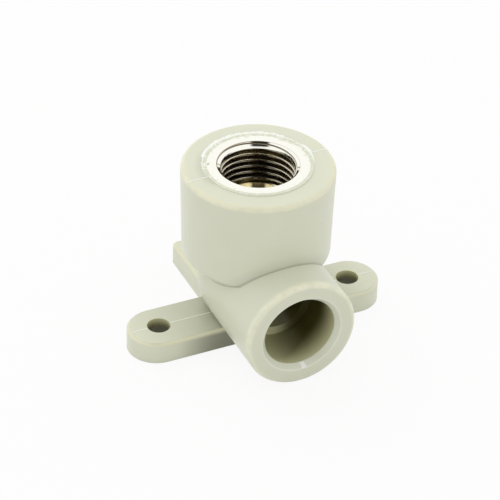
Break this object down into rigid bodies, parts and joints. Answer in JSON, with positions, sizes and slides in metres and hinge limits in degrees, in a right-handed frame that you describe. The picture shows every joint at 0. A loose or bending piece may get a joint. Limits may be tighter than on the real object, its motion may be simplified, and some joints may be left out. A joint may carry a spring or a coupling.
{
  "type": "wall plate elbow",
  "caption": "Plastic pipe elbow on a flat wall plate with screw ears: a plain pipe socket on one side and an upright boss with a threaded metal insert.",
  "frame": {"origin": "where the axis of the threaded boss meets the flat face that lies on the wall", "axes": "+Z is the boss axis, out of the wall and out of the thread; the pipe socket opens towards -Y; the two screw ears lie along X and the back tab points to +Y"},
  "size_m": [0.0706, 0.0611, 0.0491],
  "materials": {
    "body_plastic": "satin light grey-beige polypropylene, slightly translucent at its edges",
    "nickel_plate": "bright nickel plating on turned brass"
  },
  "bodies": {
    "root": {"elbow_body": "body_plastic", "threaded_insert": "nickel_plate"}
  },
  "joints": []
}
